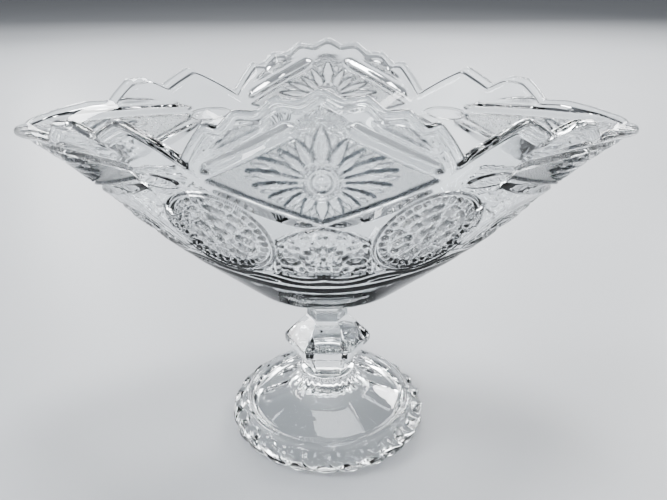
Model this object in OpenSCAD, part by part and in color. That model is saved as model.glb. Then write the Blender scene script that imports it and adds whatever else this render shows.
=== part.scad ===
// Footed fruit bowl in pressed clear glass.
// A boat-shaped bowl with a stepped, serrated rim stands on a six-sided knopped stem
// and a round foot with a fluted edge. The three pressings are joined by thin clear bonds.
// Millimetres, +Z up. The origin is the centre of the foot's resting plane, X runs along the bowl.

/* [Bowl] */
// Length of the bowl over its two low ends
bowl_length = 300; // [260:5:340]
// Width of the bowl over its two high sides
bowl_width = 166; // [150:2:190]
// Height of the tallest rim peaks above the table
overall_height = 205; // [190:1:230]
// Thickness of the bowl wall at the rim
rim_thickness = 4.5; // [3.5:0.25:6]
// Thickness of the bowl wall just above the bottom dish
wall_thickness = 5.5; // [4.5:0.25:7]
// Thickness of glass under the bowl's inner floor
floor_thickness = 6.5; // [5.5:0.5:8]
// Radius of the ring where the round bottom dish meets the walls
dish_radius = 43; // [40:1:46]

/* [Stem] */
// Height of the six-sided stem
stem_height = 50; // [44:1:56]
// Corner radius of the knop at its widest
knop_radius = 24.6; // [22:0.2:27]
// Corner radius of the narrow neck under the bowl
neck_radius = 11.4; // [10.4:0.2:12.4]
// Corner radius of the ledge under the knop
ledge_radius = 18.4; // [17:0.2:20]
// Corner radius of the stem's lower end
collar_radius = 14; // [13:0.2:15]

/* [Foot] */
// Diameter of the foot over its flutes
foot_diameter = 112; // [104:1:120]
// Height of the foot up to the stem
foot_height = 32; // [28:1:36]
// Height of the fluted edge band
band_height = 10; // [8:0.5:12]
// Number of flutes round the edge
flute_count = 24; // [20:2:30]
// Radius of each flute's rounded lobe
flute_radius = 14; // [12:0.5:16]
// Width of the flat ring that the foot rests on
rest_width = 8; // [6:0.5:9]

/* [Bonds] */
// Thickness of each clear adhesive film
bond_thickness = 0.3; // [0.2:0.1:0.5]
// Radius of the film between the stem and the bowl
upper_bond_radius = 10.5; // [9:0.5:10.5]
// Radius of the film between the foot and the stem
lower_bond_radius = 12; // [10:0.5:12]

/* [Hidden] */

glass_colour = [0.86, 0.92, 0.95, 0.45];
bond_colour = [0.95, 0.96, 0.9, 0.6];

// Heights at which the stacked pieces meet
stem_base_z = foot_height + bond_thickness;
stem_top_z = stem_base_z + stem_height;
bowl_seat_z = stem_top_z + bond_thickness;

// The bottom dish is part of a sphere, met by the walls where it slopes by dish_edge_slope degrees
dish_edge_slope = 29;
dish_sphere_radius = dish_radius / sin(dish_edge_slope);
seat_radius = 12.5;
seat_slope = asin(seat_radius / dish_sphere_radius);
dish_centre_z = bowl_seat_z + dish_sphere_radius * cos(seat_slope);
dish_edge_z = dish_centre_z - dish_sphere_radius * cos(dish_edge_slope);
wall_rise = overall_height - dish_edge_z;

// Half length and half width of the level sections of the bowl, as four control values each,
// spread evenly from the dish edge up to the height of the tallest peaks
half_length = [dish_radius, 0.868 * bowl_length / 2, 0.652 * bowl_length / 2, 1.64 * bowl_length / 2];
half_width = [dish_radius, 0.923 * bowl_width / 2, 1.079 * bowl_width / 2, 0.962 * bowl_width / 2];

// Level sections start round at the dish and become boat-shaped over the first few centimetres
boat_pinch = 0.066;
boat_pinch_rise = 11;

// Rim of one quarter: section angle from the bowl's end, and height as a share of wall_rise
rim_outline = [
    [0, 0.683], [16, 0.705], [30, 0.732], [35, 0.728], [44.5, 0.812], [48.5, 0.821],
    [49.5, 0.777], [59, 0.857], [64, 0.732], [73, 0.875], [75, 0.866], [78.5, 0.924],
    [81.5, 0.922], [84.5, 0.975], [87.5, 0.962], [90, 1]
];
widest_column_step = 4;
wall_rows = 10;
dish_rows = 4;

// Cubic curve through the first and last of four control values, for share from 0 to 1
function blend4(c, share) =
    let (rest = 1 - share)
    c[0] * pow(rest, 3) + 3 * c[1] * share * pow(rest, 2)
        + 3 * c[2] * pow(share, 2) * rest + c[3] * pow(share, 3);

// Outer face of the wall at a section angle and a share of wall_rise
function wall_point(angle, share) =
    let (
        pinch = boat_pinch * (1 - exp(-max(share, 0) * wall_rise / boat_pinch_rise)),
        reach_x = (cos(angle) + pinch * cos(3 * angle)) / (1 + pinch),
        reach_y = (sin(angle) - pinch * sin(3 * angle)) / (1 + pinch)
    )
    [
        blend4(half_length, share) * reach_x,
        blend4(half_width, share) * reach_y,
        dish_edge_z + share * wall_rise
    ];

// Outward unit normal of the wall, from short steps round and up it
function wall_normal(angle, share) =
    let (
        round_step = wall_point(angle + 0.5, share) - wall_point(angle - 0.5, share),
        up_step = wall_point(angle, share + 0.005) - wall_point(angle, share - 0.005),
        across = cross(round_step, up_step)
    )
    across / norm(across);

// Inner face of the wall, one wall thickness in from the outer face
function inner_point(angle, share) =
    let (thickness = wall_thickness + (rim_thickness - wall_thickness) * share)
    wall_point(angle, share) - thickness * wall_normal(angle, share);

// Point of the dish or of the inner floor: part of a sphere about the same centre
function dish_point(angle, slope, radius) =
    [
        radius * sin(slope) * cos(angle),
        radius * sin(slope) * sin(angle),
        dish_centre_z - radius * cos(slope)
    ];

// Section angles of one quarter: the rim's own points, with long gaps divided up
quarter_columns = [
    for (i = [0 : len(rim_outline) - 2])
        let (
            from = rim_outline[i],
            gap = rim_outline[i + 1] - from,
            parts = ceil(gap[0] / widest_column_step)
        )
        for (k = [0 : parts - 1])
            from + gap * k / parts
];

// All columns round the bowl: the quarter, mirrored across the width, then turned by half
half_columns = concat(
    quarter_columns,
    [[90, 1]],
    [for (i = [len(quarter_columns) - 1 : -1 : 1]) [180 - quarter_columns[i][0], quarter_columns[i][1]]]
);
columns = concat(half_columns, [for (c = half_columns) [c[0] + 180, c[1]]]);
column_count = len(columns);

// Rings of points from the middle of the seat, up the outside, over the rim and down the inside
bowl_rings = concat(
    [for (i = [0 : dish_rows - 1])
        let (slope = seat_slope + (dish_edge_slope - seat_slope) * i / dish_rows)
        [for (c = columns) dish_point(c[0], slope, dish_sphere_radius)]],
    [for (i = [0 : wall_rows])
        [for (c = columns) wall_point(c[0], c[1] * i / wall_rows)]],
    [for (i = [wall_rows : -1 : 1])
        [for (c = columns) inner_point(c[0], c[1] * i / wall_rows)]],
    [for (i = [dish_rows : -1 : 1])
        let (slope = dish_edge_slope * i / dish_rows)
        [for (c = columns) dish_point(c[0], slope, dish_sphere_radius - floor_thickness)]]
);
ring_count = len(bowl_rings);

// The bowl as one closed shell: a seat fan, quads split in two between rings, and a floor fan
module bowl_shell() {
    seat_middle = ring_count * column_count;
    floor_middle = seat_middle + 1;
    last_ring = (ring_count - 1) * column_count;
    points = concat(
        [for (ring = bowl_rings) for (p = ring) p],
        [[0, 0, bowl_seat_z], [0, 0, dish_centre_z - dish_sphere_radius + floor_thickness]]
    );
    seat_faces = [for (k = [0 : column_count - 1]) [seat_middle, k, (k + 1) % column_count]];
    floor_faces = [
        for (k = [0 : column_count - 1])
            [floor_middle, last_ring + (k + 1) % column_count, last_ring + k]
    ];
    side_faces = [
        for (r = [0 : ring_count - 2])
            for (k = [0 : column_count - 1])
                let (
                    here = r * column_count + k,
                    beside = r * column_count + (k + 1) % column_count
                )
                for (half = [0, 1])
                    half == 0
                        ? [here, here + column_count, beside]
                        : [beside, here + column_count, beside + column_count]
    ];
    polyhedron(points = points, faces = concat(seat_faces, side_faces, floor_faces), convexity = 8);
}

// Six-sided tapering block from one level to the next, with corners on the X axis
module six_sided(from_z, from_radius, to_z, to_radius) {
    translate([0, 0, from_z])
        cylinder(h = to_z - from_z, r1 = from_radius, r2 = to_radius, $fn = 6);
}

module bowl() {
    color(glass_colour)
        bowl_shell();
}

module bowl_bond() {
    color(bond_colour)
        translate([0, 0, stem_top_z])
            cylinder(h = bond_thickness, r = upper_bond_radius, $fn = 64);
}

// Levels of the stem as shares of its height, each with its corner radius
stem_levels = [
    [0, collar_radius], [0.23, ledge_radius], [0.29, knop_radius - 1], [0.34, knop_radius],
    [0.38, knop_radius], [0.43, knop_radius - 1.2], [0.66, neck_radius], [0.86, neck_radius],
    [1, neck_radius + 1.1]
];

module stem() {
    color(glass_colour)
        for (i = [0 : len(stem_levels) - 2])
            six_sided(
                stem_base_z + stem_levels[i][0] * stem_height, stem_levels[i][1],
                stem_base_z + stem_levels[i + 1][0] * stem_height, stem_levels[i + 1][1]
            );
}

module foot_bond() {
    color(bond_colour)
        translate([0, 0, foot_height])
            cylinder(h = bond_thickness, r = lower_bond_radius, $fn = 64);
}

foot_radius = foot_diameter / 2;
dome_edge_radius = foot_radius - 8;
neck_seat_radius = collar_radius + 1;
dome_top_radius = neck_seat_radius + 3;

// Half section of the foot: trumpet neck, shallow dome, sloping band, resting ring and hollow underside
foot_section = [
    [0, foot_height],
    [neck_seat_radius, foot_height],
    [neck_seat_radius + 0.8, foot_height - 5],
    [dome_top_radius, foot_height - 9],
    [dome_edge_radius, band_height + 1.5],
    [foot_radius, band_height - 3],
    [foot_radius, 2],
    [foot_radius - 2, 0],
    [foot_radius - 2 - rest_width, 0],
    [foot_radius - 4 - rest_width, 3],
    [dome_top_radius, foot_height - 16],
    [0, foot_height - 14]
];

// Outline of the foot seen from above: one rounded lobe for each flute
module fluted_outline() {
    lobe_centre = foot_radius - flute_radius;
    circle(r = lobe_centre + 2, $fn = 96);
    for (i = [0 : flute_count - 1])
        rotate(360 * i / flute_count)
            translate([lobe_centre, 0])
                circle(r = flute_radius, $fn = 48);
}

module foot() {
    color(glass_colour)
        intersection() {
            rotate_extrude($fn = 192)
                polygon(foot_section);
            linear_extrude(height = foot_height)
                fluted_outline();
        }
}

bowl();
bowl_bond();
stem();
foot_bond();
foot();
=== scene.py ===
"""Footed fruit bowl in pressed clear glass: detailed meshes, glass materials, floor, light and camera."""

import math

import bpy
import numpy as np
from mathutils import Matrix, Vector


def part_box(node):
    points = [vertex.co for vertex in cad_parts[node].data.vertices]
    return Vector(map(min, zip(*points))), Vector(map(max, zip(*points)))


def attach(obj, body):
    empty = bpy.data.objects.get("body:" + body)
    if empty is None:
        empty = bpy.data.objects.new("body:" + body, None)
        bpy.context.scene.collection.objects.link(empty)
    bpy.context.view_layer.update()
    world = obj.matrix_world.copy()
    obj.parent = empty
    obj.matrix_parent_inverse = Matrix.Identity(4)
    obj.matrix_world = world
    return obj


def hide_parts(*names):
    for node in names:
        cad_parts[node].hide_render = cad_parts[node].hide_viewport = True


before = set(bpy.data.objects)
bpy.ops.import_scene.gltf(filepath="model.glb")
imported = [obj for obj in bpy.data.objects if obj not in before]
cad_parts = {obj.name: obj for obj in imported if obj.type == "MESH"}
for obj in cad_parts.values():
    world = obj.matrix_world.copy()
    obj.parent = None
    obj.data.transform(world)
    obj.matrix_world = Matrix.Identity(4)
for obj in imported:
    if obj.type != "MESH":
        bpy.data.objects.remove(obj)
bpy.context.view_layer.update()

MM = 0.001
bowl_low, bowl_high = (np.array(corner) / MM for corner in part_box("bowl"))
stem_low, stem_high = (np.array(corner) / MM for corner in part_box("stem"))
foot_low, foot_high = (np.array(corner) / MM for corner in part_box("foot"))


# ---------------------------------------------------------------- bowl: the plain shape
# Millimetres. The same driving dimensions as the CAD part.
BOWL_LENGTH = 300.0
BOWL_WIDTH = 166.0
RIM_THICKNESS = 4.5
WALL_THICKNESS = 5.5
FLOOR_THICKNESS = 6.5
DISH_RADIUS = 43.0
DISH_EDGE_SLOPE = math.radians(29)
SEAT_RADIUS = 12.5

SPHERE_RADIUS = DISH_RADIUS / math.sin(DISH_EDGE_SLOPE)
SEAT_SLOPE = math.asin(SEAT_RADIUS / SPHERE_RADIUS)
DISH_CENTRE_Z = bowl_low[2] + SPHERE_RADIUS * math.cos(SEAT_SLOPE)
DISH_EDGE_Z = DISH_CENTRE_Z - SPHERE_RADIUS * math.cos(DISH_EDGE_SLOPE)
WALL_RISE = bowl_high[2] - DISH_EDGE_Z

HALF_LENGTH = [DISH_RADIUS, 0.868 * BOWL_LENGTH / 2, 0.652 * BOWL_LENGTH / 2, 1.64 * BOWL_LENGTH / 2]
HALF_WIDTH = [DISH_RADIUS, 0.923 * BOWL_WIDTH / 2, 1.079 * BOWL_WIDTH / 2, 0.962 * BOWL_WIDTH / 2]
BOAT_PINCH = 0.066
BOAT_PINCH_RISE = 11.0

# Rim of one quarter: angle from the bowl's end in degrees, height as a share of the wall's rise
RIM_OUTLINE = [
    (0, 0.683), (16, 0.705), (30, 0.732), (35, 0.728), (44.5, 0.812), (48.5, 0.821),
    (49.5, 0.777), (59, 0.857), (64, 0.732), (73, 0.875), (75, 0.866), (78.5, 0.924),
    (81.5, 0.922), (84.5, 0.975), (87.5, 0.962), (90, 1),
]


def blend4(controls, share):
    rest = 1 - share
    return (controls[0] * rest ** 3 + 3 * controls[1] * share * rest ** 2
            + 3 * controls[2] * share ** 2 * rest + controls[3] * share ** 3)


def wall_point(angle, share):
    """Outer face of the wall, in mm, at an angle in radians and a share of the wall's rise."""
    pinch = BOAT_PINCH * (1 - np.exp(-np.maximum(share, 0) * WALL_RISE / BOAT_PINCH_RISE))
    reach_x = (np.cos(angle) + pinch * np.cos(3 * angle)) / (1 + pinch)
    reach_y = (np.sin(angle) - pinch * np.sin(3 * angle)) / (1 + pinch)
    return np.stack([
        blend4(HALF_LENGTH, share) * reach_x,
        blend4(HALF_WIDTH, share) * reach_y,
        DISH_EDGE_Z + share * WALL_RISE + 0 * angle,
    ], axis=-1)


def wall_directions(angle, share):
    """Outward normal and up-the-wall unit vectors of the plain wall."""
    step = 1e-3
    around = wall_point(angle + step, share) - wall_point(angle - step, share)
    upward = wall_point(angle, share + step) - wall_point(angle, share - step)
    normal = np.cross(around, upward)
    normal /= np.linalg.norm(normal, axis=-1, keepdims=True)
    upward /= np.linalg.norm(upward, axis=-1, keepdims=True)
    return normal, upward


def fold(angle):
    """Angle of the matching point in the first quarter: 0 at an end, a right angle at a high side."""
    turned = np.mod(angle, math.pi)
    return np.where(turned > math.pi / 2, math.pi - turned, turned)


# Arc lengths round the wall from the middle of a high side, for the first quarter
ARC_ANGLES = np.linspace(0, math.pi / 2, 181)
ARC_SHARES = np.linspace(0, 1, 61)


def make_arc_table():
    angle, share = np.meshgrid(ARC_ANGLES, ARC_SHARES)
    steps = np.linalg.norm(np.diff(wall_point(angle, share), axis=1), axis=-1)
    from_end = np.concatenate([np.zeros((len(ARC_SHARES), 1)), np.cumsum(steps, axis=1)], axis=1)
    return from_end[:, -1:] - from_end


ARC_TABLE = make_arc_table()


def arc_from_side(angle, share):
    """Distance round the wall, in mm, from the middle of the nearest high side."""
    column = np.clip(fold(angle) / (math.pi / 2) * (len(ARC_ANGLES) - 1), 0, len(ARC_ANGLES) - 1.001)
    row = np.clip(share * (len(ARC_SHARES) - 1), 0, len(ARC_SHARES) - 1.001)
    i, j = row.astype(int), column.astype(int)
    u, v = row - i, column - j
    return ((1 - u) * (1 - v) * ARC_TABLE[i, j] + (1 - u) * v * ARC_TABLE[i, j + 1]
            + u * (1 - v) * ARC_TABLE[i + 1, j] + u * v * ARC_TABLE[i + 1, j + 1])


def make_slant_table():
    """Length up the outside of a high side at each share of the rise."""
    shares = np.linspace(0, 1.2, 241)
    side = np.full_like(shares, math.pi / 2)
    steps = np.linalg.norm(np.diff(wall_point(side, shares), axis=0), axis=-1)
    return shares, np.concatenate([[0], np.cumsum(steps)])


SLANT_SHARES, SLANT_LENGTHS = make_slant_table()
FLOWER_SHARE = 0.68
FLOWER_LENGTH = np.interp(FLOWER_SHARE, SLANT_SHARES, SLANT_LENGTHS)


def height(share):
    """Distance up a high side, in mm, above the middle of its flower."""
    return np.interp(share, SLANT_SHARES, SLANT_LENGTHS) - FLOWER_LENGTH


# How the rim's teeth are rounded: degrees to one side of a place, and the weight of the rim's height there
TOOTH_ROUNDING = [(-0.7, 1 / 12), (-0.35, 3 / 12), (0.0, 4 / 12), (0.35, 3 / 12), (0.7, 1 / 12)]


def rim_share(angle):
    """Rim height at an angle, with the corners of its teeth rounded."""
    degrees, shares = zip(*RIM_OUTLINE)
    total = np.zeros_like(angle)
    for off, weight in TOOTH_ROUNDING:
        total = total + weight * np.interp(np.degrees(fold(angle + math.radians(off))), degrees, shares)
    return total


# ---------------------------------------------------------------- bowl: the pressed pattern
# The pattern is drawn flat, in mm: x away from a lobe's middle line, y up from its flower's middle.
# Depths are measured into the glass from the plain outer face.

# Where the end lobes begin, as a share of the arc from a high side's middle to an end
CORNER_SHARE_OF_ARC = 0.34
# The end lobes' pattern is pressed down between these shares of the rise, to END_TOP at the very end
SQUEEZE_FROM = 0.35
SQUEEZE_TOP = 0.95
END_TOP = 0.69


def smooth(value, low, high):
    t = np.clip((value - low) / (high - low), 0, 1)
    return t * t * (3 - 2 * t)


def flat_place(angle, share):
    """Flat pattern coordinates of a place on the wall, and its distance from the high side's middle.

    The two end lobes carry the same pattern as the high sides, stretched along the bowl and
    pressed down below their lower rim."""
    total = arc_from_side(np.zeros_like(angle), share)
    from_side = arc_from_side(angle, share)
    corner = CORNER_SHARE_OF_ARC * total
    in_end = from_side > corner
    from_end = np.clip((total - from_side) / (total - corner), 0, 1)
    top = END_TOP + (SQUEEZE_TOP - END_TOP) * np.sqrt(from_end ** 2 + 0.002)
    squeezed = SQUEEZE_FROM + (share - SQUEEZE_FROM) * (SQUEEZE_TOP - SQUEEZE_FROM) / (top - SQUEEZE_FROM)
    pressed = np.where(in_end & (share > SQUEEZE_FROM), squeezed, share)
    pressed_corner = CORNER_SHARE_OF_ARC * arc_from_side(np.zeros_like(angle), np.clip(pressed, 0, 1))
    x = np.where(in_end, from_end * pressed_corner, from_side)
    return x, height(pressed), from_side


def along_line(x, y, start, end):
    """Distance to the left of the line from start to end, share along it, and distance past its ends."""
    (ax, ay), (bx, by) = start, end
    length = math.hypot(bx - ax, by - ay)
    ux, uy = (bx - ax) / length, (by - ay) / length
    t = ((x - ax) * ux + (y - ay) * uy) / length
    across = (x - ax) * -uy + (y - ay) * ux
    beyond = np.maximum(np.maximum(-t, t - 1), 0) * length
    return across, t, beyond


def cut(x, y, start, end, half_width, taper):
    """A V cut, 0 to 1 deep, from start to end, narrowing to points over the taper shares."""
    across, t, beyond = along_line(x, y, start, end)
    narrow = np.minimum(np.clip(t / taper[0], 0, 1), np.clip((1 - t) / taper[1], 0, 1)) ** 0.6
    width = np.maximum(half_width * narrow, 1e-3)
    return np.clip(1 - np.abs(across) / width, 0, 1) * (beyond <= 0)


def ridge(distance, half_width):
    """A rounded line, 0 to 1 high, where distance is 0."""
    t = np.clip(np.abs(distance) / half_width, 0, 1)
    return (1 - t * t) ** 2


SCATTER_SIZE = 64
SCATTER_SHAKE = 0.28
ROW_PITCH = 0.87


def scatter(x, y, pitch, smallest, largest, seed):
    """Round bumps, 0 to 1 high, on a shaken grid with staggered rows."""
    rng = np.random.default_rng(seed)
    size = SCATTER_SIZE
    shake = rng.uniform(-SCATTER_SHAKE, SCATTER_SHAKE, (size, size, 2))
    radius = rng.uniform(smallest, largest, (size, size))
    gx, gy = x / pitch, y / (pitch * ROW_PITCH)
    row = np.floor(gy).astype(int)
    best = np.zeros_like(x)
    for dr in (-1, 0, 1):
        r = row + dr
        shift = 0.5 * (r % 2)
        column = np.floor(gx - shift).astype(int)
        for dc in (-1, 0, 1):
            c = column + dc
            jitter = shake[r % size, c % size]
            cx = (c + 0.5 + shift + jitter[..., 0]) * pitch
            cy = (r + 0.5 + jitter[..., 1]) * pitch * ROW_PITCH
            gap = np.hypot(x - cx, y - cy) / radius[r % size, c % size]
            best = np.maximum(best, np.clip(1 - gap * gap, 0, 1) ** 0.5)
    return best


# The flower: reach of its petals as a share of their ellipse, in even steps from the top to the bottom
PETAL_REACH = [1.1, 0.9, 0.82, 0.88, 0.97, 1.0, 0.86, 0.78, 0.76, 0.78, 0.88]
PETAL_COUNT = 18
FLOWER_WIDE = 31.0
FLOWER_TALL = 20.0
BUTTON_RADIUS = 5.0
RAY_COUNT = 36
BACK_PETAL_HEIGHT = 0.45
# Share of a petal's length at which it is widest
PETAL_WIDEST = 0.62
FAR_OUTSIDE = -9.0


def petals(x, y, wide, tall, count, reach, offset, fullness):
    """One layer of leaf-shaped petals.

    Gives the distance inside the nearest outline, and the half width of that leaf there."""
    turn = 2 * math.pi / count
    bearing = np.arctan2(y / tall, x / wide)
    nearest = np.round((bearing - math.pi / 2) / turn - offset)
    inside = np.full_like(x, FAR_OUTSIDE)
    half_width = np.ones_like(x)
    for step in (-1, 0, 1):
        k = nearest + step + offset
        direction = math.pi / 2 + k * turn
        half = np.mod(np.abs(k), count)
        half = np.minimum(half, count - half)
        share = np.interp(half / (count / 2) * (len(reach) - 1), np.arange(len(reach)), reach)
        dx, dy = wide * np.cos(direction), tall * np.sin(direction)
        span = np.hypot(dx, dy)
        t = (x * dx + y * dy) / (span * span * share)
        across = np.abs(x * dy - y * dx) / span
        widest = fullness * 0.66 * turn * wide * tall / span * share / 2
        root = np.clip(t / PETAL_WIDEST, 0, 1) ** 1.1
        tip = np.clip((1 - t) / (1 - PETAL_WIDEST), 0, 1) ** 0.62
        width = np.maximum(widest * np.where(t < PETAL_WIDEST, root, tip), 1e-3)
        gap = np.where((t > 0) & (t < 1), width - across, FAR_OUTSIDE)
        half_width = np.where(gap > inside, width, half_width)
        inside = np.maximum(inside, gap)
    return inside, half_width


def leaf_height(inside, half_width, edge):
    """Height, 0 to 1, of a hollowed leaf: a steep edge, a raised outline and a crease down its middle."""
    rise = np.clip(inside / np.minimum(edge, 0.7 * half_width), 0, 1)
    return rise * rise * (3 - 2 * rise) * (1 - 0.4 * smooth(inside / half_width, 0.4, 1.0))


def flower(x, y):
    """The big layered flower round its button.

    Gives its height, how far its ground is stippled and darkened with painted shade, and the painted shade
    drawn along its outline lines, each from 0 to 1."""
    front, front_half = petals(x, y, FLOWER_WIDE, FLOWER_TALL, PETAL_COUNT, PETAL_REACH, 0.0, 0.94)
    back, back_half = petals(x, y, FLOWER_WIDE, FLOWER_TALL, PETAL_COUNT, PETAL_REACH, 0.5, 0.8)
    back_leaves = BACK_PETAL_HEIGHT * leaf_height(back, back_half, 0.8)
    back_leaves = back_leaves * (np.hypot(x / FLOWER_WIDE, y / FLOWER_TALL) < 0.9)
    leaves = np.maximum(leaf_height(front, front_half, 0.75), back_leaves * smooth(-front, 0.2, 0.9))
    radius = np.hypot(x, y)
    angle = np.arctan2(y, x)
    rays = 0.6 + 0.35 * np.cos(RAY_COUNT * angle)
    rays = rays * smooth(radius, BUTTON_RADIUS + 0.6, BUTTON_RADIUS + 1.6) * (1 - smooth(radius, 8.4, 9.6))
    ring = ridge(radius - BUTTON_RADIUS, 1.5)
    middle = 0.2 + 0.5 * np.clip(1 - (radius / 2.6) ** 2, 0, 1) ** 0.5
    middle = middle * (radius < BUTTON_RADIUS)
    leaves = leaves * smooth(radius, BUTTON_RADIUS + 0.8, 9.0)
    rough_and_painted_shade = smooth(-np.maximum(front, back), -0.5, 0.3) * (radius > 10)
    # Painted shade: dark lines along the petals' outline and round the button
    outline = np.maximum(ridge(front, 0.75), 0.6 * ridge(back, 0.6) * (front < -0.3)) * (radius > 9)
    outline = np.maximum(outline, 0.7 * ridge(radius - BUTTON_RADIUS + 1.1, 0.6))
    return np.maximum(np.maximum(leaves, rays), np.maximum(ring, middle)), rough_and_painted_shade, outline


# Corners of the diamond frame, the upper one where an upper cut ends beside the middle
SIDE_CORNER = (57.0, float(height(0.655)))
UPPER_CORNER = (10.0, float(height(0.872)))
BOTTOM_CORNER = (0.0, float(height(0.494)))
# Mitre cuts along the frame and over the panel: half width and depth below the plain glass
UPPER_CUT = (3.0, 2.4)
LOWER_CUT = (3.0, 2.6)
ARCH_CUT = (1.9, 2.2)
# Fine ridges on both sides of the cuts: half width, height, and distance from the upper and lower lines
FRAME_RIDGE = (0.9, 0.6)
UPPER_RIDGE_OFF = 3.8
LOWER_RIDGE_OFF = 3.2

# The small panel under the diamond: its corner and bottom, its flower, and the eyes beside that
PANEL_CORNER = (21.0, float(height(0.410)))
PANEL_BOTTOM = float(height(0.245))
PANEL_MIDDLE = float(height(0.351))
PANEL_FLOWER = (9.5, 7.0)
EYE_PLACE = (14.0, -3.0)
EYE_HALF = (5.2, 3.0)

# The beaded ovals, and the distances in from their outline at which the beads and the hobnails begin
OVAL_MIDDLE = (48.0, float(height(0.40)))
OVAL_TILT = math.radians(20)
OVAL_HALF = (28.0, 23.5)
BEAD_FROM = 2.9
BEAD_LINE = 5.2
BEAD_PITCH = 4.0
HOBNAIL_FROM = 7.6

# The smooth oval pad beside each corner, on the end lobes
SMOOTH_PAD_MIDDLE = (73.0, float(height(0.625)))
SMOOTH_PAD_HALF = (12.5, 3.2)

# Depths of the plain glass and of the grounds pressed into it
PLAIN = 0.6
GROUND = 2.7
# Lower end of the thick plain edge under each peak of the rim, and how far that edge stands out
LEVEL_LINE = float(height(0.905))
THICK_EDGE = 0.3
# Upper edge of the stippled pad beside the flower
PAD_TOP = [(15.0, 24.6), (32.6, 21.4), (42.0, 13.0)]
# Pitch of the flowing ridges, and the middle and half width of the plain groove under them
FLOW_PITCH = 4.4
BAND_MIDDLE = float(height(0.165))
BAND_HALF = 3.0
# Distance of the fine line under the rim
RIM_LINE = 4.4


def on_line(start, end, x):
    """Point at x on the line through start and end."""
    t = (x - start[0]) / (end[0] - start[0])
    return (x, start[1] + t * (end[1] - start[1]))


def oval_distance(from_side, y):
    """Distance outside the beaded oval, negative inside, distance round it, and place on its two axes."""
    dx, dy = from_side - OVAL_MIDDLE[0], y - OVAL_MIDDLE[1]
    u = dx * math.cos(OVAL_TILT) + dy * math.sin(OVAL_TILT)
    v = -dx * math.sin(OVAL_TILT) + dy * math.cos(OVAL_TILT)
    size = np.hypot(u / OVAL_HALF[0], v / OVAL_HALF[1])
    mean = (OVAL_HALF[0] + OVAL_HALF[1]) / 2
    return (size - 1) * mean, np.arctan2(v / OVAL_HALF[1], u / OVAL_HALF[0]) * (mean - 5), u, v


def oval_depth(distance, round_it, u, v):
    """Depth inside the oval: double outline, a band of beads and a field of hobnails."""
    depth = np.full_like(distance, 0.4)
    along_bead = (np.mod(round_it / BEAD_PITCH, 1) - 0.5) * BEAD_PITCH
    bead = np.clip(1 - np.hypot(along_bead / 1.75, (distance + BEAD_LINE) / 1.9) ** 2, 0, 1) ** 0.5
    depth = np.where(distance < -BEAD_FROM, 1.9 - 1.6 * bead, depth)
    big = scatter(u, v, 6.0, 2.0, 3.0, 11)
    small = scatter(u, v, 3.0, 0.9, 1.3, 12)
    field = 2.1 - np.maximum(1.8 * big, 0.6 * small)
    depth = np.where(distance < -HOBNAIL_FROM, field, depth)
    depth = np.maximum(depth, 2.0 * ridge(distance + HOBNAIL_FROM, 1.0))
    depth = np.maximum(depth, 1.9 * ridge(distance + 0.4, 1.0))
    return np.maximum(depth, 1.9 * ridge(distance + 2.7, 0.9))


def panel_depth(x, y):
    """Depth in the small panel: a little flower between two eyes, on pebbles."""
    up = y - PANEL_MIDDLE
    inside, across = petals(x, up, *PANEL_FLOWER, 10, [1, 1], 0.0, 1.05)
    leaves = leaf_height(inside, across, 0.8)
    button = ridge(np.hypot(x, up) - 1.8, 1.3)
    eye = np.hypot((x - EYE_PLACE[0]) / EYE_HALF[0], (up - EYE_PLACE[1]) / EYE_HALF[1])
    eyes = np.maximum(ridge((eye - 1) * 3.2, 1.1), np.clip(1 - (eye / 0.5) ** 2, 0, 1) ** 0.5)
    clear = (np.hypot(x / (PANEL_FLOWER[0] + 1), up / (PANEL_FLOWER[1] + 1)) > 1) & (eye > 1.3)
    pebbles = 0.6 * scatter(x, y, 4.2, 1.4, 1.9, 21) * clear
    return 2.1 - 1.9 * np.maximum(np.maximum(leaves, button), np.maximum(eyes, pebbles))


CORNER_SOFTNESS = 0.7


def rounded_least(*distances):
    """Least of several distances, with the corners between them rounded."""
    return -CORNER_SOFTNESS * np.log(sum(np.exp(-d / CORNER_SOFTNESS) for d in distances))


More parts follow.
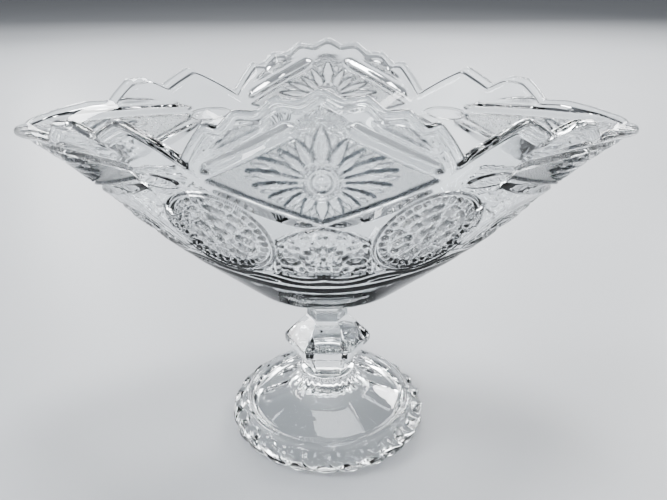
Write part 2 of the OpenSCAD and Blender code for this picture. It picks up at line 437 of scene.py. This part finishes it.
def pattern(angle, share, rim):
    """The pressed pattern: its depth in mm, how far the glass is stippled and darkened with painted shade
    there, and the painted shade drawn along its outline lines.
    """
    x, y, from_side = flat_place(angle, share)
    _, rim_y, _ = flat_place(angle, rim)
    below_rim = rim_y - y
    true_y = height(share)

    # Frame lines: signed distance above the upper line and the lower line of the diamond
    above_upper, _, _ = along_line(x, y, UPPER_CORNER, SIDE_CORNER)
    above_lower, _, _ = along_line(x, y, BOTTOM_CORNER, SIDE_CORNER)
    arch_top, arch_t, _ = along_line(x, y, BOTTOM_CORNER, PANEL_CORNER)
    arch_top = arch_top - 1.6 * np.sin(math.pi * np.clip(arch_t, 0, 1))
    in_diamond = ((above_upper < 0) | ((x < 15) & (above_upper < 3))) & (above_lower > 0)

    depth = np.full_like(x, PLAIN)
    # Stippled glass is also darkened with painted shade in its colour
    stipple_and_painted_shade = np.zeros_like(x)

    # Flower and its ground
    under_cut = smooth(-above_upper, 3.4, 4.4)
    under_gap = smooth(-above_upper, -3.0, 9.0)
    ground = (under_gap + (under_cut - under_gap) * smooth(x, 7, 15)) * smooth(above_lower, 2.6, 3.5)
    blossom, rough_and_painted_shade, outline = flower(x, y)
    outline = outline * in_diamond * ground
    depth = np.where(in_diamond, PLAIN + (GROUND - PLAIN) * ground, depth)
    depth = np.where(in_diamond, depth - (GROUND - 0.05) * blossom * ground, depth)
    stipple_and_painted_shade = np.where(in_diamond, ground * rough_and_painted_shade, stipple_and_painted_shade)

    # Stippled pads above the frame, with a raised outline
    over_first, _, _ = along_line(x, y, PAD_TOP[0], PAD_TOP[1])
    over_second, _, _ = along_line(x, y, PAD_TOP[1], PAD_TOP[2])
    pad = rounded_least(above_upper - 4.9, -over_first, -over_second, x - 15.0, below_rim - 4.0)
    depth = depth + (GROUND - PLAIN) * smooth(pad, 0.0, 0.9) - 0.6 * ridge(pad + 0.9, 1.1)
    stipple_and_painted_shade = np.maximum(stipple_and_painted_shade, smooth(pad, 0.6, 1.2))

    # Thick plain edge under each peak of the rim, ending in a level line
    thick = smooth(y - LEVEL_LINE, -0.4, 0.4) * (1 - smooth(x, 26, 30))
    depth = depth * (1 - thick) - THICK_EDGE * thick

    # Mitre cuts of the frame
    upper = cut(x, y, UPPER_CORNER, on_line(UPPER_CORNER, SIDE_CORNER, 48.5), UPPER_CUT[0], (0.05, 0.06))
    lower = cut(x, y, on_line(BOTTOM_CORNER, SIDE_CORNER, 45), BOTTOM_CORNER, LOWER_CUT[0], (0.3, 0.35))
    arch = np.clip(1 - np.abs(arch_top) / ARCH_CUT[0], 0, 1) * ((arch_t > 0) & (arch_t < 1))
    high_lines = ridge(np.abs(above_upper) - UPPER_RIDGE_OFF, FRAME_RIDGE[0]) * smooth(x, 7, 12)
    low_lines = ridge(np.abs(above_lower) - LOWER_RIDGE_OFF, FRAME_RIDGE[0]) * smooth(x, 2, 7)
    lines = np.maximum(high_lines, low_lines) * smooth(SIDE_CORNER[0] + 4 - x, 0, 4)
    depth = depth - FRAME_RIDGE[1] * lines
    for groove, size in ((upper, UPPER_CUT), (lower, LOWER_CUT), (arch, ARCH_CUT)):
        depth = np.maximum(depth, PLAIN + size[1] * groove)

    # Panel under the diamond
    in_panel = (arch_top < -1.8) & (x < 20.0) & (y > PANEL_BOTTOM)
    depth = np.where(in_panel, panel_depth(x, y), depth)
    sides = np.maximum(ridge(x - 20.4, 0.8), ridge(x - 22.6, 0.8))
    sides = sides * (y < PANEL_CORNER[1] + 1) * (y > PANEL_BOTTOM - 2)
    depth = np.maximum(depth, 1.3 * sides)

    # Smooth oval pad beside each corner, on the end lobes
    smooth_pad = np.hypot((from_side - SMOOTH_PAD_MIDDLE[0]) / SMOOTH_PAD_HALF[0],
                          (true_y - SMOOTH_PAD_MIDDLE[1]) / SMOOTH_PAD_HALF[1])
    beside = from_side > CORNER_SHARE_OF_ARC * arc_from_side(np.zeros_like(angle), share)
    depth = np.where(beside & (smooth_pad < 1), 0.15, depth)
    depth = np.where(beside, np.maximum(depth, 1.1 * ridge((smooth_pad - 1) * 4, 0.8)), depth)

    # Beaded ovals over the corners
    distance, round_it, u, v = oval_distance(from_side, true_y)
    depth = np.where(distance < 0.5, oval_depth(distance, round_it, u, v), depth)
    stipple_and_painted_shade = np.where(distance < -7.4, 0.25, stipple_and_painted_shade)

    # Flowing ridges and a plain groove round the bottom of the walls
    flow = 0.5 + 0.35 * np.cos(2 * math.pi * (true_y + 1.6 * np.sin(from_side / 6)) / FLOW_PITCH)
    below = true_y < PANEL_BOTTOM
    depth = np.where(below & (distance > 0.5), flow, depth)
    band = np.clip(1 - np.abs(true_y - BAND_MIDDLE) / BAND_HALF, 0, 1)
    depth = np.where(true_y < BAND_MIDDLE + BAND_HALF, 0.7 * band, depth)

    # Plain border along the rim
    border = 1 - smooth(below_rim, 2.6, 4.2)
    depth = depth * (1 - border)
    depth = depth + 0.6 * ridge(below_rim - RIM_LINE, 0.8)
    stipple_and_painted_shade = stipple_and_painted_shade * (1 - border)
    return np.clip(depth, -0.3, 3.3), stipple_and_painted_shade, outline


# ---------------------------------------------------------------- meshes
# Pieces that are bonded overlap by this much, in mm, so that light passes straight from one to the next
CONTACT = 0.02


def ring_at(angles, radius, z):
    """A ring of points about the upright axis, at a radius and height that may change with the angle."""
    return np.stack([radius * np.cos(angles), radius * np.sin(angles), z + 0 * angles], axis=-1)


def make_mesh(name, rings, closed_ends, level_ends, attributes=()):
    """A mesh from rings of points in mm: quads between rings, and a fan on each closed end.

    A level end is shaded flat. Each attribute is a name and one value for each point of the rings."""
    ring_count, column_count, _ = rings.shape
    points = rings.reshape(-1, 3)
    start_tip, end_tip = closed_ends
    points = np.concatenate([points, [start_tip], [end_tip]]) * MM
    here = (np.arange(ring_count - 1)[:, None] * column_count + np.arange(column_count)[None, :]).ravel()
    beside = (np.arange(ring_count - 1)[:, None] * column_count
              + (np.arange(column_count)[None, :] + 1) % column_count).ravel()
    quads = np.stack([here, beside, beside + column_count, here + column_count], axis=1)
    first = np.arange(column_count)
    after = (first + 1) % column_count
    last = (ring_count - 1) * column_count
    start = ring_count * column_count
    faces = quads.tolist()
    faces += [[start, b, a] for a, b in zip(first.tolist(), after.tolist())]
    faces += [[start + 1, last + a, last + b] for a, b in zip(first.tolist(), after.tolist())]
    mesh = bpy.data.meshes.new(name)
    mesh.from_pydata(points.tolist(), [], faces)
    fans = [np.full(column_count, not level) for level in level_ends]
    mesh.polygons.foreach_set("use_smooth", np.concatenate([np.ones(len(quads), bool), *fans]))
    for attribute, values in attributes:
        layer = mesh.attributes.new(attribute, "FLOAT", "POINT")
        layer.data.foreach_set("value", np.concatenate([np.ravel(values), [0, 0]]).astype(np.float32))
    mesh.update()
    piece = bpy.data.objects.new(name, mesh)
    bpy.context.scene.collection.objects.link(piece)
    return piece


def quarter_angles():
    """Column angles of one quarter: closely spaced over the high side and the ovals."""
    angle = np.linspace(0, math.pi / 2, 2000)
    from_side = arc_from_side(angle, np.full_like(angle, 0.62))
    spacing = 0.58 + 0.2 * smooth(from_side, 30, 40) + 0.5 * smooth(from_side, 72, 95)
    density = np.abs(np.gradient(from_side, angle)) / spacing
    count = np.concatenate([[0], np.cumsum((density[1:] + density[:-1]) / 2 * np.diff(angle))])
    columns = int(round(count[-1]))
    return np.interp(np.linspace(0, count[-1], columns + 1), count, angle)


DISH_ROWS = 5
BOTTOM_ROWS = 8
BOTTOM_SHARE = 0.13
WALL_ROWS = 190
CAP_STEPS = 6
CAP_HEIGHT = 1.9
INNER_ROWS = 9
FLOOR_ROWS = 6
# Painted shade along both outline lines of the rounded rim: how dark, as a share of the darkest painted
# shade
RIM_PAINTED_SHADE = 0.7


def dish_ring(angles, slope, radius):
    """A level ring of a sphere about the dish's centre, where the sphere has this slope."""
    return ring_at(angles, radius * math.sin(slope), DISH_CENTRE_Z - radius * math.cos(slope))


def wall_levels():
    """Rows up the wall as shares of its height: wide apart at the plain bottom, closest over the flower."""
    bottom = np.linspace(0, BOTTOM_SHARE, BOTTOM_ROWS, endpoint=False)
    share = np.linspace(BOTTOM_SHARE, 1, 800)
    density = 1 + 0.9 * smooth(share, 0.48, 0.54) * (1 - smooth(share, 0.88, 0.93))
    count = np.concatenate([[0], np.cumsum(density[1:])])
    rows = np.linspace(0, count[-1], WALL_ROWS - BOTTOM_ROWS + 1)
    return np.concatenate([bottom, np.interp(rows, count, share)])


def steepness(places, depths):
    """How steeply the relief falls away from the plain wall: 0 where it is level, 1 on a steep edge."""
    up = np.zeros_like(depths)
    up[1:-1] = (depths[2:] - depths[:-2]) / np.linalg.norm(places[2:] - places[:-2], axis=-1)
    apart = np.linalg.norm(np.roll(places, -1, axis=1) - np.roll(places, 1, axis=1), axis=-1)
    around = (np.roll(depths, -1, axis=1) - np.roll(depths, 1, axis=1)) / apart
    return smooth(np.hypot(up, around), 0.4, 1.9)


def make_bowl():
    quarter = quarter_angles()
    half = np.concatenate([quarter, math.pi - quarter[-2::-1]])
    angles = np.concatenate([half, half[1:-1] + math.pi])
    rim = rim_share(angles)
    _, upward = wall_directions(angles, rim)
    cap_share = CAP_HEIGHT * upward[:, 2] / WALL_RISE
    top = rim - cap_share
    rings, stipples_and_painted_shade = [], []
    flat = np.zeros_like(angles)

    # Outside of the round dish, from the seat out
    for i in range(DISH_ROWS):
        slope = SEAT_SLOPE + (DISH_EDGE_SLOPE - SEAT_SLOPE) * i / DISH_ROWS
        rings.append(dish_ring(angles, slope, SPHERE_RADIUS))
        stipples_and_painted_shade.append(flat)

    # Patterned outside of the wall
    places, depths, painted_outline_shades = [], [], []
    for level in wall_levels():
        share = top * level
        normal, _ = wall_directions(angles, share)
        depth, stipple_and_painted_shade, outline = pattern(angles, share, rim)
        places.append(wall_point(angles, share))
        depths.append(depth)
        painted_outline_shades.append(outline)
        rings.append(places[-1] - depth[:, None] * normal)
        stipples_and_painted_shade.append(stipple_and_painted_shade)
    # Painted shade: steep slopes of the relief and the flower's drawn lines darken the glass colour through
    # the edge attribute
    steep = steepness(np.array(places), np.array(depths))
    edges = [flat] * DISH_ROWS + list(np.maximum(steep, np.array(painted_outline_shades)))

    # Rounded rim, with painted shade along both outline lines
    normal, upward = wall_directions(angles, top)
    outer = wall_point(angles, top)
    for i in range(1, CAP_STEPS):
        turn = math.pi * i / CAP_STEPS
        across = RIM_THICKNESS / 2 * (1 - math.cos(turn))
        rise = CAP_HEIGHT * math.sin(turn)
        rings.append(outer - across * normal + rise * upward)
        stipples_and_painted_shade.append(flat)
        edges.append(flat + RIM_PAINTED_SHADE * abs(math.cos(turn)))

    # Plain inside, down to the middle of the floor
    for i in range(INNER_ROWS, 0, -1):
        share = top * i / INNER_ROWS
        normal, _ = wall_directions(angles, share)
        thickness = WALL_THICKNESS + (RIM_THICKNESS - WALL_THICKNESS) * share
        rings.append(wall_point(angles, share) - thickness[:, None] * normal)
        stipples_and_painted_shade.append(flat)
    inner_radius = SPHERE_RADIUS - FLOOR_THICKNESS
    for i in range(FLOOR_ROWS, 0, -1):
        rings.append(dish_ring(angles, DISH_EDGE_SLOPE * i / FLOOR_ROWS, inner_radius))
        stipples_and_painted_shade.append(flat)
    edges += [flat] * (len(rings) - len(edges))

    rings[0][:, 2] -= CONTACT
    seat = (0, 0, bowl_low[2] - CONTACT)
    floor = (0, 0, DISH_CENTRE_Z - inner_radius)
    # The edge attribute holds painted shade for the glass colour
    attributes = (("stipple_and_painted_shade", stipples_and_painted_shade), ("edge", edges))
    return make_mesh("pressed_bowl", np.array(rings), (seat, floor), (True, False), attributes)


# ---------------------------------------------------------------- stem
# Share of the stem's height, corner radius in mm, and how round the corners are
STEM_LEVELS = [
    (0.0, 14.0, 0.30), (0.03, 14.3, 0.12), (0.215, 17.9, 0.10), (0.225, 18.4, 0.2), (0.25, 18.5, 0.3),
    (0.26, 18.2, 0.3), (0.268, 19.0, 0.35), (0.315, 23.7, 0.35), (0.33, 24.5, 0.5), (0.35, 24.6, 0.5),
    (0.39, 24.6, 0.5), (0.41, 24.3, 0.4), (0.425, 23.4, 0.3), (0.65, 12.0, 0.12), (0.665, 11.4, 0.2),
    (0.80, 11.2, 0.12), (0.86, 11.3, 0.12), (0.95, 11.8, 0.3), (1.0, 12.5, 0.5),
]
STEM_COLUMNS = 192
STEM_ROWS = 180


def six_sided_radius(angle, corner_radius, roundness):
    """Radius of a six-sided section with its corners on the X axis, rounded towards a circle."""
    from_face = np.mod(angle, math.pi / 3) - math.pi / 6
    flat = corner_radius * math.cos(math.pi / 6) / np.cos(from_face)
    soft_corner = corner_radius * (1 - 0.045 * roundness)
    limit = soft_corner * (1 - 0.012 * (1 - np.cos(6 * angle)))
    return np.minimum(flat, limit)


def make_stem():
    z_low, z_high = stem_low[2] - CONTACT, stem_high[2] + CONTACT
    angles = np.linspace(0, 2 * math.pi, STEM_COLUMNS, endpoint=False)
    shares, radii, round_corners = zip(*STEM_LEVELS)
    rings = []
    for i in range(STEM_ROWS + 1):
        t = i / STEM_ROWS
        near = np.clip(t + np.array([-0.005, 0, 0.005]), 0, 1)
        corner = float(np.mean(np.interp(near, shares, radii)))
        soft = float(np.interp(t, shares, round_corners))
        rings.append(ring_at(angles, six_sided_radius(angles, corner, soft), z_low + t * (z_high - z_low)))
    return make_mesh("knopped_stem", np.array(rings), ((0, 0, z_low), (0, 0, z_high)), (True, True))


# ---------------------------------------------------------------- foot
FLUTES = 24
FLUTE_RADIUS = 14.0
FOOT_COLUMNS = FLUTES * 18
FOOT_RADIUS = (foot_high[0] - foot_low[0]) / 2
FOOT_HEIGHT = foot_high[2]
# Top of the foot from the neck out: radius and height in mm
FOOT_TOP = [
    (15.0, FOOT_HEIGHT), (15.3, 29.5), (15.9, 26.8), (17.0, 24.4), (19.5, 21.9), (24.0, 19.6),
    (32.0, 16.4), (40.0, 13.3), (43.4, 11.9), (44.2, 11.9), (44.8, 12.5), (45.6, 13.2), (46.6, 13.5),
    (47.6, 13.2), (48.4, 12.4), (48.8, 11.2), (49.4, 10.4), (50.2, 10.0), (52.6, 9.2), (54.4, 8.1),
    (55.5, 6.7), (56.0, 5.0), (56.0, 2.6), (55.4, 1.0), (54.0, 0.15), (52.5, 0.0),
]
# Underside from the resting ring in to the middle
FOOT_UNDER = [
    (47.0, 0.0), (45.8, 0.4), (44.6, 2.4), (43.4, 3.8), (40.0, 5.0), (30.0, 10.0), (20.0, 14.9),
    (12.0, 17.2), (4.0, 18.0),
]
FLUTE_SLANT = math.radians(8)
NECK_FLUTE_DEPTH = 0.32
PANEL_SAG = 1.5
BAND_DIP = 2.0
SCALLOP_DEPTH = 1.6
SCALLOP_RADIUS = 45.0


def resample(points, spacing):
    """Points along a smooth path through the given ones, about spacing apart."""
    points = np.array(points, float)
    steps = np.hypot(*np.diff(points, axis=0).T)
    along = np.concatenate([[0], np.cumsum(steps)])
    wanted = np.linspace(0, along[-1], int(along[-1] / spacing) + 2)
    return np.stack([np.interp(wanted, along, column) for column in points.T], axis=1)


def flute_factor(angle):
    """Outline radius of the fluted edge at an angle, as a share of the foot's radius."""
    turn = 2 * math.pi / FLUTES
    off = np.mod(angle + turn / 2, turn) - turn / 2
    centre = FOOT_RADIUS - FLUTE_RADIUS
    outline = centre * np.cos(off) + np.sqrt(FLUTE_RADIUS ** 2 - (centre * np.sin(off)) ** 2)
    return outline / FOOT_RADIUS


def make_foot():
    angles = np.linspace(0, 2 * math.pi, FOOT_COLUMNS, endpoint=False)
    rings = []
    for radius, z in resample(FOOT_TOP, 0.7):
        flute = flute_factor(angles + FLUTE_SLANT * smooth(z, 1.0, 10.0) * (radius > 48))
        dip = 1 - (flute - flute.min()) / (1 - flute.min())
        fluted = smooth(radius, 49.0, 53.0)
        neck_flutes = smooth(FOOT_HEIGHT - z, 0.3, 3.0) * (1 - smooth(radius, 17.5, 21.0))
        ring_radius = radius * (1 + (flute - 1) * fluted)
        ring_radius = ring_radius + NECK_FLUTE_DEPTH * neck_flutes * (np.cos(FLUTES * angles) - 1)
        panel = smooth(radius, 17.0, 24.0) * (1 - smooth(radius, 41.0, 43.6))
        sag = PANEL_SAG * panel * np.abs(np.sin(3 * angles)) ** 0.7
        band_dip = BAND_DIP * dip * smooth(radius, 49.2, 51.0) * smooth(z, 3.0, 7.0)
        rings.append(ring_at(angles, ring_radius, np.maximum(z - sag - band_dip, 0)))
    for radius, z in resample(FOOT_UNDER, 2.0):
        scallop = SCALLOP_DEPTH * np.exp(-((radius - SCALLOP_RADIUS) / 1.8) ** 2)
        rings.append(ring_at(angles, radius - scallop * np.abs(np.cos(FLUTES / 2 * angles)), z))
    rings = np.array(rings)[::-1]
    rings[-1, :, 2] += CONTACT
    ends = ((0, 0, FOOT_UNDER[-1][1]), (0, 0, FOOT_HEIGHT + CONTACT))
    return make_mesh("fluted_foot", rings, ends, (False, True))


# ---------------------------------------------------------------- materials
GLASS_TINT = (0.965, 0.985, 0.995)
GLASS_IOR = 1.5
ADHESIVE_TINT = (0.97, 0.975, 0.95)
ADHESIVE_IOR = 1.49
# Darkest colour of the painted shade on the pattern's steep slopes, drawn lines and stippled ground
DARKEST_PAINTED_SHADE = (0.03, 0.036, 0.042)
# Greatest roughness of the mould's haze, and what stippling adds to the roughness and to the painted shade
# in the glass colour
HAZE = 0.03
STIPPLE_ROUGHNESS = 0.28
STIPPLE_PAINTED_SHADE = 0.34


def clear_glass(name, tint, ior, patterned):
    """Colourless pressed glass: soft waviness from the mould, faint haze, stippling where it is marked,
    and painted shade that darkens its colour on the pattern's steep slopes, drawn lines and stippled
    ground."""
    material = bpy.data.materials.new(name)
    material.use_nodes = True
    nodes, links = material.node_tree.nodes, material.node_tree.links
    shader = nodes["Principled BSDF"]
    shader.inputs["Base Color"].default_value = (*tint, 1)
    shader.inputs["Transmission Weight"].default_value = 1
    shader.inputs["IOR"].default_value = ior

    place = nodes.new("ShaderNodeTexCoord")
    wave = nodes.new("ShaderNodeTexNoise")
    wave.inputs["Scale"].default_value = 90
    wave.inputs["Detail"].default_value = 2
    links.new(place.outputs["Object"], wave.inputs["Vector"])
    haze = nodes.new("ShaderNodeMapRange")
    haze.inputs["To Min"].default_value = 0.0
    haze.inputs["To Max"].default_value = HAZE
    links.new(wave.outputs["Fac"], haze.inputs["Value"])
    roughness = haze.outputs["Result"]

    soft_bump = nodes.new("ShaderNodeBump")
    soft_bump.inputs["Strength"].default_value = 0.12
    soft_bump.inputs["Distance"].default_value = 0.0006
    links.new(wave.outputs["Fac"], soft_bump.inputs["Height"])
    last_bump = soft_bump
    if patterned:
        grain = nodes.new("ShaderNodeTexVoronoi")
        grain.inputs["Scale"].default_value = 900
        links.new(place.outputs["Object"], grain.inputs["Vector"])
        stipple_and_painted_shade_mask = nodes.new("ShaderNodeAttribute")
        stipple_and_painted_shade_mask.attribute_name = "stipple_and_painted_shade"
        dots = nodes.new("ShaderNodeMath")
        dots.operation = "MULTIPLY"
        links.new(grain.outputs["Distance"], dots.inputs[0])
        links.new(stipple_and_painted_shade_mask.outputs["Fac"], dots.inputs[1])
        fine_bump = nodes.new("ShaderNodeBump")
        fine_bump.inputs["Strength"].default_value = 0.9
        fine_bump.inputs["Distance"].default_value = 0.0007
        links.new(dots.outputs["Value"], fine_bump.inputs["Height"])
        links.new(soft_bump.outputs["Normal"], fine_bump.inputs["Normal"])
        last_bump = fine_bump
        frost = nodes.new("ShaderNodeMath")
        frost.operation = "MULTIPLY_ADD"
        links.new(stipple_and_painted_shade_mask.outputs["Fac"], frost.inputs[0])
        frost.inputs[1].default_value = STIPPLE_ROUGHNESS
        links.new(haze.outputs["Result"], frost.inputs[2])
        roughness = frost.outputs["Value"]
        # Painted shade: the glass colour darkens towards the darkest painted shade on steep slopes and
        # drawn lines of the pattern, and on its stippled ground
        edge = nodes.new("ShaderNodeAttribute")
        edge.attribute_name = "edge"
        shade = nodes.new("ShaderNodeMath")
        shade.operation = "MULTIPLY_ADD"
        links.new(stipple_and_painted_shade_mask.outputs["Fac"], shade.inputs[0])
        shade.inputs[1].default_value = STIPPLE_PAINTED_SHADE
        links.new(edge.outputs["Fac"], shade.inputs[2])
        tone = nodes.new("ShaderNodeValToRGB")
        tone.color_ramp.elements[0].color = (*tint, 1)
        tone.color_ramp.elements[1].color = (*DARKEST_PAINTED_SHADE, 1)
        links.new(shade.outputs["Value"], tone.inputs["Fac"])
        links.new(tone.outputs["Color"], shader.inputs["Base Color"])
    links.new(roughness, shader.inputs["Roughness"])
    links.new(last_bump.outputs["Normal"], shader.inputs["Normal"])
    return material


for maker, node in ((make_bowl, "bowl"), (make_stem, "stem"), (make_foot, "foot")):
    piece = maker()
    piece.data.materials.append(clear_glass(f"{node}_glass", GLASS_TINT, GLASS_IOR, node == "bowl"))
    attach(piece, "root")
    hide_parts(node)

adhesive = clear_glass("clear_adhesive", ADHESIVE_TINT, ADHESIVE_IOR, False)
for node in ("bowl_bond", "foot_bond"):
    for material_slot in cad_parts[node].material_slots:
        material_slot.material = adhesive


# ---------------------------------------------------------------- floor, light and camera
FLOOR_RADIUS = 12.0
FLOOR_SIDES = 96
# How far the floor lies under the foot, so that the two faces don't coincide
FLOOR_GAP = 0.0002


def make_floor():
    mesh = bpy.data.meshes.new("floor")
    turns = [2 * math.pi * i / FLOOR_SIDES for i in range(FLOOR_SIDES)]
    corners = [(FLOOR_RADIUS * math.cos(t), FLOOR_RADIUS * math.sin(t), 0) for t in turns]
    mesh.from_pydata(corners, [], [range(FLOOR_SIDES)])
    floor = bpy.data.objects.new("floor", mesh)
    floor.location.z = -FLOOR_GAP
    bpy.context.scene.collection.objects.link(floor)
    material = bpy.data.materials.new("pale_floor")
    material.use_nodes = True
    nodes, links = material.node_tree.nodes, material.node_tree.links
    shader = nodes["Principled BSDF"]
    shader.inputs["Roughness"].default_value = 0.45
    place = nodes.new("ShaderNodeTexCoord")
    speckle = nodes.new("ShaderNodeTexNoise")
    speckle.inputs["Scale"].default_value = 3
    links.new(place.outputs["Object"], speckle.inputs["Vector"])
    tone = nodes.new("ShaderNodeValToRGB")
    tone.color_ramp.elements[0].color = (0.37, 0.38, 0.395, 1)
    tone.color_ramp.elements[1].color = (0.41, 0.42, 0.435, 1)
    links.new(speckle.outputs["Fac"], tone.inputs["Fac"])
    links.new(tone.outputs["Color"], shader.inputs["Base Color"])
    floor.data.materials.append(material)


def make_light(name, place, target, size, power, colour=(1, 1, 1)):
    data = bpy.data.lights.new(name, "AREA")
    data.shape = "RECTANGLE"
    data.size, data.size_y = size
    data.energy = power
    data.color = colour
    lamp = bpy.data.objects.new(name, data)
    lamp.location = place
    lamp.rotation_mode = "QUATERNION"
    lamp.rotation_quaternion = (Vector(target) - Vector(place)).to_track_quat("-Z", "Y")
    bpy.context.scene.collection.objects.link(lamp)


def make_world():
    """A plain pale room, darker overhead so that the glass has dark as well as bright edges."""
    world = bpy.data.worlds.new("soft_room")
    bpy.context.scene.world = world
    world.use_nodes = True
    nodes, links = world.node_tree.nodes, world.node_tree.links
    background = nodes["Background"]
    place = nodes.new("ShaderNodeTexCoord")
    split = nodes.new("ShaderNodeSeparateXYZ")
    links.new(place.outputs["Generated"], split.inputs["Vector"])
    tone = nodes.new("ShaderNodeValToRGB")
    tone.color_ramp.elements[0].position = 0.05
    tone.color_ramp.elements[0].color = (0.50, 0.52, 0.55, 1)
    tone.color_ramp.elements[1].position = 0.45
    tone.color_ramp.elements[1].color = (0.15, 0.157, 0.17, 1)
    links.new(split.outputs["Z"], tone.inputs["Fac"])
    links.new(tone.outputs["Color"], background.inputs["Color"])
    background.inputs["Strength"].default_value = 1.0


# Upright strips of light in a ring round the bowl
STRIPS = 9
STRIP_DISTANCE = 1.77

CAMERA_PLACE = (0.0064, -0.3084, 0.2464)
CAMERA_PITCH = math.radians(24.75)
CAMERA_YAW = math.radians(-0.52)
CAMERA_ROLL = math.radians(0.23)
CAMERA_LENS = 34.33
CAMERA_SENSOR = 36.0


def make_camera():
    data = bpy.data.cameras.new("camera")
    data.lens = CAMERA_LENS
    data.sensor_width = CAMERA_SENSOR
    data.clip_start = 0.01
    camera = bpy.data.objects.new("camera", data)
    forward = Vector((math.sin(CAMERA_YAW) * math.cos(CAMERA_PITCH),
                      math.cos(CAMERA_YAW) * math.cos(CAMERA_PITCH), -math.sin(CAMERA_PITCH)))
    level_right = Vector((math.cos(CAMERA_YAW), -math.sin(CAMERA_YAW), 0))
    level_down = forward.cross(level_right)
    right = math.cos(CAMERA_ROLL) * level_right + math.sin(CAMERA_ROLL) * level_down
    down = -math.sin(CAMERA_ROLL) * level_right + math.cos(CAMERA_ROLL) * level_down
    turn = Matrix((right, -down, -forward)).transposed()
    camera.matrix_world = Matrix.Translation(CAMERA_PLACE) @ turn.to_4x4()
    bpy.context.scene.collection.objects.link(camera)
    bpy.context.scene.camera = camera


make_floor()
make_world()
make_light("window", (-1.95, 0.2, 1.4), (0, 0, 0.15), (0.62, 0.9), 48, (0.93, 0.97, 1))
make_light("overhead", (0.18, 0.28, 2.05), (0, 0, 0), (0.53, 0.53), 25)
make_light("far_window", (1.5, 1.6, 1.4), (0, 0, 0.15), (0.44, 0.7), 28)
make_light("low_window", (0, 2.2, 1.0), (0, 0, 0.1), (2.5, 0.62), 31)
for i in range(STRIPS):
    turn = 2 * math.pi * (i + 0.3) / STRIPS
    place = (STRIP_DISTANCE * math.sin(turn), STRIP_DISTANCE * math.cos(turn), 0.9)
    make_light(f"strip_{i}", place, (0, 0, 0.12), (0.11, 1.06), 6)
make_camera()
bpy.context.scene.view_settings.look = "AgX - Medium High Contrast"
